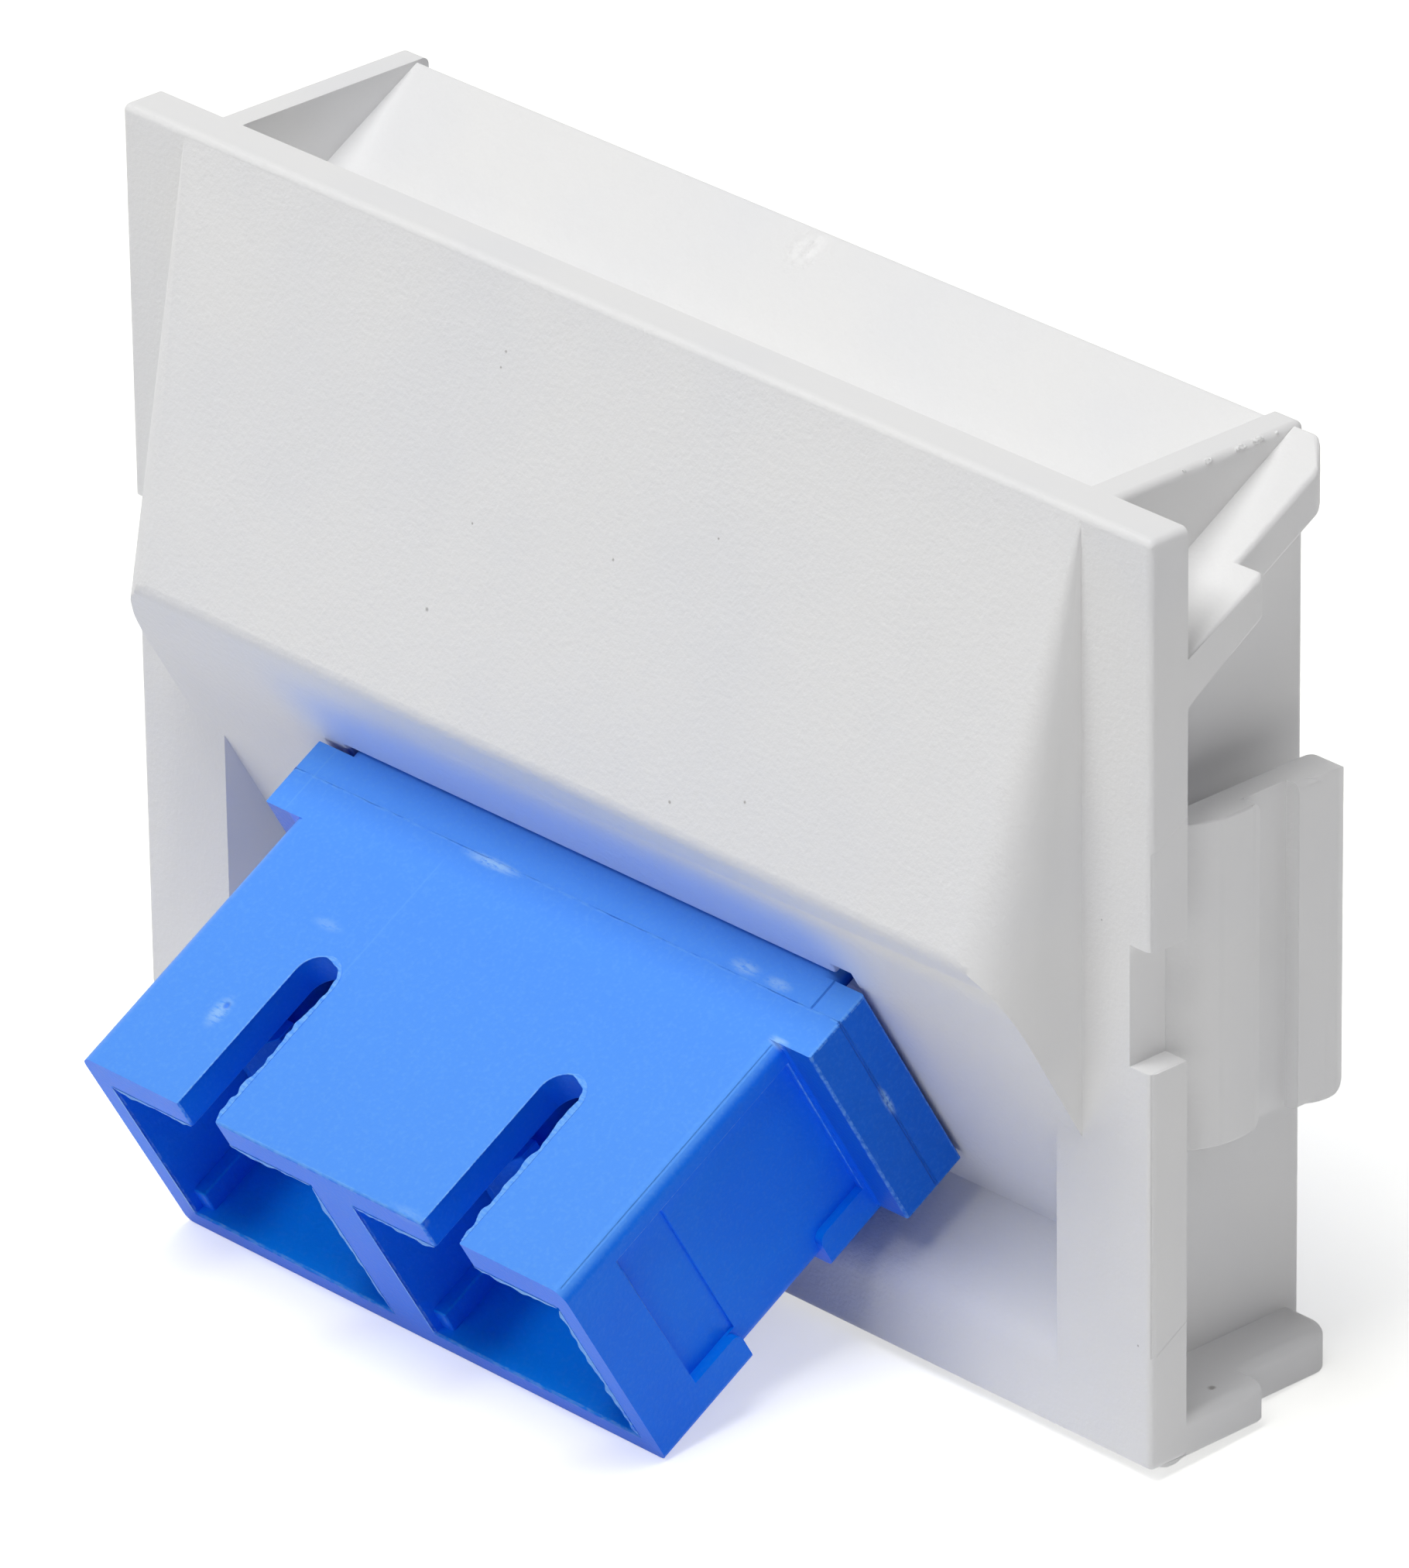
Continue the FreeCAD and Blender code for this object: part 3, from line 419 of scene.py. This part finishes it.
# Room that an easing needs, in its own widths: along the edge, along the edges at its ends, clear of
# the next easing, and what an edge that stays crisp takes of that
easeRoom = {"along": 3.0, "ends": 1.6, "clear": 1.2, "crispEdge": 0.2}


def shadeCleanly(piece, sharpAngle):
    for face in piece.data.polygons:
        face.use_smooth = True
    piece.data.set_sharp_from_angle(angle=math.radians(sharpAngle))
    weighted = piece.modifiers.new("evenShading", "WEIGHTED_NORMAL")
    weighted.mode = "FACE_AREA"
    weighted.weight = cleaning["evenness"]
    weighted.keep_sharp = True


def gapBetween(one, other):
    # how near two edges come, measured from their ends and middles
    gaps = []
    for edge, across in ((one, other), (other, one)):
        start, end = (vertex.co for vertex in edge.verts)
        left, right = (vertex.co for vertex in across.verts)
        for point in (start, end, (start + end) / 2):
            share = geometry.intersect_point_line(point, left, right)[1]
            gaps.append((point - left.lerp(right, min(max(share, 0), 1))).length)
    return min(gaps)


def easeWidths(work, easing):
    # the crisp outer edges, each with the widest easing that it has room for
    steps = [width * mm for width in easing["widths"]]
    wedge = math.radians(cleaning["wedge"])
    widths = {edge: steps[0] for edge in work.edges if edge.is_convex
              and edge.calc_face_angle() > math.radians(easing["crisp"])
              and all(corner.calc_angle() > wedge for loop in edge.link_loops
                      for corner in (loop, loop.link_loop_next))}

    def cramped(edge):
        width = widths[edge]
        if edge.calc_length() < easeRoom["along"] * width:
            return True
        for loop in edge.link_loops:
            for side in (loop.link_loop_prev.edge, loop.link_loop_next.edge):
                if side not in widths and side.calc_length() < easeRoom["ends"] * width:
                    return True
            for other in loop.face.edges:
                room = easeRoom["clear"] * (width + widths.get(other, easeRoom["crispEdge"] * width))
                if not set(other.verts) & set(edge.verts) and gapBetween(edge, other) < room:
                    return True
        return False

    tight = [edge for edge in widths if cramped(edge)]
    while tight:
        for edge in tight:
            smaller = [step for step in steps if step < widths[edge]]
            if smaller:
                widths[edge] = smaller[0]
            else:
                del widths[edge]
        tight = [edge for edge in widths if cramped(edge)]
    return widths


def easedCopy(node, name, easing, materials):
    # the node's own shape with its crisp edges eased; the easing takes the last material
    mesh = nodes[node].data.copy()
    mesh.name = name
    work = bmesh.new()
    work.from_mesh(mesh)
    bmesh.ops.remove_doubles(work, verts=work.verts, dist=cleaning["weld"] * mm)
    flat = math.radians(cleaning["flat"])
    bmesh.ops.dissolve_limit(work, angle_limit=flat, verts=work.verts, edges=work.edges)
    widest = easing["widths"][0] * mm
    share = work.edges.layers.float.new("bevel_weight_edge")
    for edge, width in easeWidths(work, easing).items():
        edge[share] = width / widest
    work.to_mesh(mesh)
    work.free()
    for layer in [layer for layer in mesh.attributes if layer.name == "custom_normal"]:
        mesh.attributes.remove(layer)  # the carried-over normals no longer fit
    piece = addPiece(name, mesh, materials)
    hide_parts(node)
    bevel = piece.modifiers.new("easedEdges", "BEVEL")
    bevel.limit_method = "WEIGHT"
    bevel.width = widest
    bevel.segments = cleaning["segments"]
    bevel.use_clamp_overlap = False
    bevel.material = len(materials) - 1
    ready = piece.evaluated_get(bpy.context.evaluated_depsgraph_get())
    piece.data = bpy.data.meshes.new_from_object(ready)
    piece.modifiers.clear()
    shadeCleanly(piece, easing["crisp"])


# Degrees from which an edge is crisp, and the widths to try on it, in millimetres
moduleEasing = {"crisp": 36.0, "widths": [0.24, 0.15, 0.08]}
easedCopy("module_body", "moduleBody", moduleEasing, [white])

shellEasing = {"crisp": 36.0, "widths": [0.11, 0.07, 0.04]}
easedCopy("adapter_front_shell", "frontShell", shellEasing, [blue, blueEdge])
easedCopy("adapter_rear_shell", "rearShell", shellEasing, [blue, blueEdge])

holderEasing = {"crisp": 36.0, "widths": [0.05]}
for side in ("left", "right"):
    for end in ("front", "rear"):
        easedCopy(f"sleeve_holder_{side}_{end}", f"{side}{end.title()}Holder",
                  holderEasing, [holderBlue])
    nodes[f"alignment_sleeve_{side}"].data.materials.clear()
    nodes[f"alignment_sleeve_{side}"].data.materials.append(zirconia)

clipEasing = {"crisp": 40.0, "widths": [0.04]}
easedCopy("panel_clip", "panelClip", clipEasing, [steel])
print("pieces eased")

# What all torn films share: how much the fine and coarse waves add and how they shift from run to run, the
# points over which an end runs out, and the share of the thickness above the root
tornShape = {"fine": 0.75, "coarse": 0.6, "fineShift": 7.3, "coarseShift": 3.1, "fade": 3, "above": 0.4}


def raggedFilm(name, runs, film, material):
    # torn film left along an edge: each run is its points, the way the film leans and the way it is thick
    torn = tornShape
    work = bmesh.new()
    for number, (points, lean, rise) in enumerate(runs):
        rows = []
        last = len(points) - 1
        thick = rise * film["thick"] * mm
        for i, point in enumerate(points):
            fine = noise.noise(point * film["tearing"] / mm + Vector((0, 0, torn["fineShift"] * number)))
            coarse = noise.noise(point * film["waving"] / mm + Vector((torn["coarseShift"] * number, 0, 0)))
            cover = film["cover"] + torn["fine"] * fine + torn["coarse"] * coarse
            size = max(0.0, film["reach"] * cover) + film["least"]
            fade = min(1.0, i / torn["fade"], (last - i) / torn["fade"])
            way = lean[i] if isinstance(lean, list) else lean
            root = point - way * film["root"] * mm
            tip = point + (way * size + rise * film["lift"] * size) * (fade * mm)
            corners = (root - thick, tip, root + thick * torn["above"])
            rows.append([work.verts.new(corner) for corner in corners])
        for one, two in zip(rows, rows[1:]):
            for a, b in ((0, 1), (1, 2), (2, 0)):
                work.faces.new((one[a], one[b], two[b], two[a]))
        work.faces.new(rows[0])
        work.faces.new(rows[-1][::-1])
    bmesh.ops.recalc_face_normals(work, faces=work.faces)
    addPiece(name, meshFrom(work, name), [material])


def walk(corners, pitch):
    # points along straight runs
    points = []
    for start, end in zip(corners, corners[1:]):
        start, end = Vector(start), Vector(end)
        count = max(2, round((end - start).length / pitch))
        points += [start.lerp(end, i / count) for i in range(count)]
    return points + [Vector(corners[-1])]


def adapterRun(corners, pitch):
    return [onAdapter(*point) for point in walk(corners, pitch)]


# Film along the edges of the key slots, less of it on the left-hand ones
slotFilm = {"reach": 0.16, "cover": 0.4, "least": 0.015, "root": 0.09, "thick": 0.04, "lift": 0.35,
            "tearing": 2.6, "waving": 0.6, "pitch": 0.12, "halfSlot": 0.975, "slotEnd": 6.975,
            "mouthInset": 0.15, "arcSteps": 16, "leftShare": 0.4}


def slotRuns(way):
    # both long edges of each key slot and its round end; way is -1 for the front shell
    film = slotFilm
    half = film["halfSlot"]
    inner = film["slotEnd"]
    mouth = adapter["length"] - film["mouthInset"]
    outline = []  # across and along the slot, then the way out of it
    for point in walk([(0, mouth, 0), (0, inner, 0)], film["pitch"]):
        outline.append((half, point.y, 1.0, 0.0))
    for i in range(1, film["arcSteps"]):
        angle = math.pi * i / film["arcSteps"]
        outline.append((half * math.cos(angle), inner - half * math.sin(angle),
                        math.cos(angle), -math.sin(angle)))
    for point in walk([(0, inner, 0), (0, mouth, 0)], film["pitch"]):
        outline.append((-half, point.y, -1.0, 0.0))
    lean = [turn @ Vector((-outX, -way * outY, 0)) * (1 if outX > 0 else film["leftShare"])
            for x, y, outX, outY in outline]
    runs = []
    for centre in portCentres:
        points = [onAdapter(centre + x, way * y, adapter["halfHeight"]) for x, y, outX, outY in outline]
        runs.append((points, lean, adapterUp))
    return runs


raggedFilm("frontSlotFilm", slotRuns(-1), slotFilm, blueFilm)
raggedFilm("rearSlotFilm", slotRuns(1), slotFilm, blueFilm)

# Film at the port mouths: along the upper lip beside the slots and down the walls
mouthFilm = {"reach": 0.12, "cover": 0.4, "least": 0.01, "root": 0.06, "thick": 0.035, "lift": 0.5,
             "tearing": 2.2, "waving": 0.5, "pitch": 0.13, "portHigh": 3.425, "portLow": -3.925,
             "halfPort": 5.25, "lipInset": 0.05, "jambInset": 0.1}


def mouthRuns(way):
    film = mouthFilm
    end = way * adapter["length"]
    high = film["portHigh"]
    forward = turn @ Vector((0, way, 0))
    runs = []
    for centre in portCentres:
        for side in (-1, 1):
            lip = [(centre + side * (slotFilm["halfSlot"] + film["lipInset"]), end, high),
                   (centre + side * (film["halfPort"] - film["lipInset"]), end, high)]
            runs.append((adapterRun(lip, film["pitch"]), turn @ Vector((0, 0, -1)), forward))
            jamb = [(centre + side * film["halfPort"], end, high - film["jambInset"]),
                    (centre + side * film["halfPort"], end, film["portLow"] + film["jambInset"])]
            runs.append((adapterRun(jamb, film["pitch"]), turn @ Vector((-side, 0, 0)), forward))
    return runs


raggedFilm("frontMouthFilm", mouthRuns(-1), mouthFilm, blueFilm)
raggedFilm("rearMouthFilm", mouthRuns(1), mouthFilm, blueFilm)

# Thin flash that all but closes the seam between the two shells, over the top and down both ends
seamFilm = {"reach": 0.06, "cover": 0.6, "least": 0.0, "root": 0.05, "thick": 0.025, "lift": 0.05,
            "tearing": 1.4, "waving": 0.4, "pitch": 0.2, "sink": 0.012, "end": 14.05, "corner": 0.05,
            "foot": -4.35}


def seamRuns():
    film = seamFilm
    top = adapter["halfHeight"]
    ridge = top - film["sink"]
    rim = film["end"] + film["corner"] - film["sink"]
    rearward = turn @ Vector((0, 1, 0))
    across = [(-film["end"], 0, ridge), (film["end"], 0, ridge)]
    runs = [(adapterRun(across, film["pitch"]), rearward, adapterUp)]
    for side in (-1, 1):
        down = [(side * rim, 0, top - film["corner"]), (side * rim, 0, film["foot"])]
        runs.append((adapterRun(down, film["pitch"]), rearward, turn @ Vector((side, 0, 0))))
    return runs


raggedFilm("seamFilm", seamRuns(), seamFilm, blue)

# Crumbs along the outer top edge of the right-hand wall: how far back each lies, and its radius
crumbLook = {"edge": (22.68, 17.53), "ragged": 0.55, "waves": 1.2, "shift": 7, "fineness": 2,
             "grains": [(4.9, 0.07), (6.0, 0.11), (6.14, 0.08), (7.42, 0.09), (7.56, 0.13),
                        (7.74, 0.1), (8.28, 0.12), (8.42, 0.15), (8.6, 0.08), (9.3, 0.07)]}


def wallCrumbs():
    look = crumbLook
    work = bmesh.new()
    for back, radius in look["grains"]:
        seat = Vector((look["edge"][0], back, look["edge"][1]))
        for vertex in bmesh.ops.create_icosphere(work, subdivisions=look["fineness"], radius=1.0)["verts"]:
            swell = 1 + look["ragged"] * noise.noise(vertex.co * look["waves"] + seat * look["shift"])
            vertex.co = (seat + vertex.co * swell * radius) * mm
    addPiece("wallCrumbs", meshFrom(work, "wallCrumbs"), [white])


wallCrumbs()

# Scrap of film under the bezel's right-hand lower corner
scrapFilm = {"reach": 0.14, "cover": 0.55, "least": 0.03, "root": 0.05, "thick": 0.03, "lift": 0.0,
             "tearing": 1.9, "waving": 0.7, "pitch": 0.1,
             "run": [(25.98, 0.55, -17.58), (26.02, 1.66, -17.58)]}
scrap = [point * mm for point in walk(scrapFilm["run"], scrapFilm["pitch"])]
raggedFilm("bezelFilm", [(scrap, Vector((0, 0, -1)), Vector((1, 0, 0)))], scrapFilm, white)
print("films laid")


# Floor through the adapter's lower front edge and the module's lower rear edge, on which it leans
floorLook = {"tint": (0.93, 0.93, 0.93, 1), "seenTint": (1.0, 1.0, 0.95, 1), "roughness": 0.9, "glow": 0.5,
             "bounce": 0.08, "white": (80.0, 260.0), "half": 1.5, "gap": 0.02}
frontEdge = min((vertex.co for vertex in nodes["adapter_front_shell"].data.vertices), key=lambda co: co.z)
rearEdge = Vector((0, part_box("module_body")[1].y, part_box("module_body")[0].z))
floorTilt = math.atan2(rearEdge.z - frontEdge.z, rearEdge.y - frontEdge.y)


def paleFloor():
    look = floorLook
    net = Net(bpy.data.materials.new("paleFloor"))
    seen = net.seen()
    # white again away from the piece, where its shadow ends
    away = net.ease(net.reach(net.place(), (0, 0, 0)), *look["white"])
    seenGlow = net.mix(away, grey(look["glow"]), grey(1))
    inputs = {"Base Color": net.mix(seen, look["tint"], look["seenTint"]), "Roughness": look["roughness"],
              "Specular IOR Level": 0.0, "Emission Strength": 1.0,
              "Emission Color": net.mix(seen, grey(look["bounce"]), seenGlow)}
    return net.finish(net.node("ShaderNodeBsdfPrincipled", 0, {}, inputs))


floorMesh = bpy.data.meshes.new("floor")
half = floorLook["half"]
floorCorners = [(-half, -half, 0), (half, -half, 0), (half, half, 0), (-half, half, 0)]
floorMesh.from_pydata(floorCorners, [], [(0, 1, 2, 3)])
floorMesh.materials.append(paleFloor())
floor = bpy.data.objects.new("floor", floorMesh)
scene.collection.objects.link(floor)
floor.matrix_world = (Matrix.Translation((0, frontEdge.y, frontEdge.z - floorLook["gap"] * mm))
                      @ Matrix.Rotation(floorTilt, 4, "X"))

# Soft light: a wide panel overhead, a weak one low at the left front, others at the right, behind and left.
# Each has its place and size in metres, its power and its tone.
lightLook = {
    "surround": 0.03, "plain": (1.0, 1.0, 1.0), "cool": (0.965, 0.955, 1.0),
    "panels": [("overhead", (-0.03, -0.18, 0.53), 0.4, 2.7, "plain"),
               ("lowFront", (-0.15, -0.6, 0.1), 0.3, 0.24, "plain"),
               ("right", (0.52, -0.2, 0.42), 0.4, 0.42, "cool"),
               ("behind", (0.45, 0.4, 0.4), 0.4, 0.32, "cool"),
               ("left", (-0.62, 0.0, 0.3), 0.4, 0.32, "plain")],
}
for name, position, size, power, tone in lightLook["panels"]:
    panel = bpy.data.lights.new(name, "AREA")
    panel.size = size
    panel.energy = power
    panel.color = lightLook[tone]
    lamp = bpy.data.objects.new(name, panel)
    scene.collection.objects.link(lamp)
    lamp.location = position
    lamp.rotation_euler = (-Vector(position)).to_track_quat("-Z", "Y").to_euler()

sky = Net(bpy.data.worlds.new("surround"))
shade = sky.mix(sky.seen(), grey(lightLook["surround"]), grey(1))
background = sky.node("ShaderNodeBackground", 0, {}, {"Color": shade, "Strength": 1.0})
sky.node("ShaderNodeOutputWorld", 0, {}, {0: background})
scene.world = sky.owner

# Camera fitted to the photograph's edges: degrees, and millimetres from the bezel's middle
cameraLook = {"azimuth": 47.314, "elevation": 25.919, "roll": -0.816, "distance": 499.506, "aside": 2.742,
              "rise": -0.669, "base": 0.4, "focalPixels": 18476.5, "tallPixels": 2025, "sensor": 36.0,
              "clipStart": 0.01}
azimuth, elevation, roll = (math.radians(cameraLook[key]) for key in ("azimuth", "elevation", "roll"))
back = Vector((math.sin(azimuth) * math.cos(elevation), -math.cos(azimuth) * math.cos(elevation),
               math.sin(elevation)))
across = Vector((math.cos(azimuth), math.sin(azimuth), 0))
upright = back.cross(across)
right = across * math.cos(roll) + upright * math.sin(roll)
up = upright * math.cos(roll) - across * math.sin(roll)
aim = Vector((0, 0, cameraLook["base"])) + right * cameraLook["aside"] + up * cameraLook["rise"]
eye = (aim + back * cameraLook["distance"]) * mm
camera = bpy.data.cameras.new("photoCamera")
camera.sensor_width = cameraLook["sensor"]
camera.lens = cameraLook["focalPixels"] / cameraLook["tallPixels"] * cameraLook["sensor"]
camera.clip_start = cameraLook["clipStart"]
cameraObject = bpy.data.objects.new("photoCamera", camera)
scene.collection.objects.link(cameraObject)
cameraObject.matrix_world = Matrix.Translation(eye) @ Matrix((right, up, back)).transposed().to_4x4()
scene.camera = cameraObject
scene.view_settings.view_transform = "Standard"
print("camera and light set")
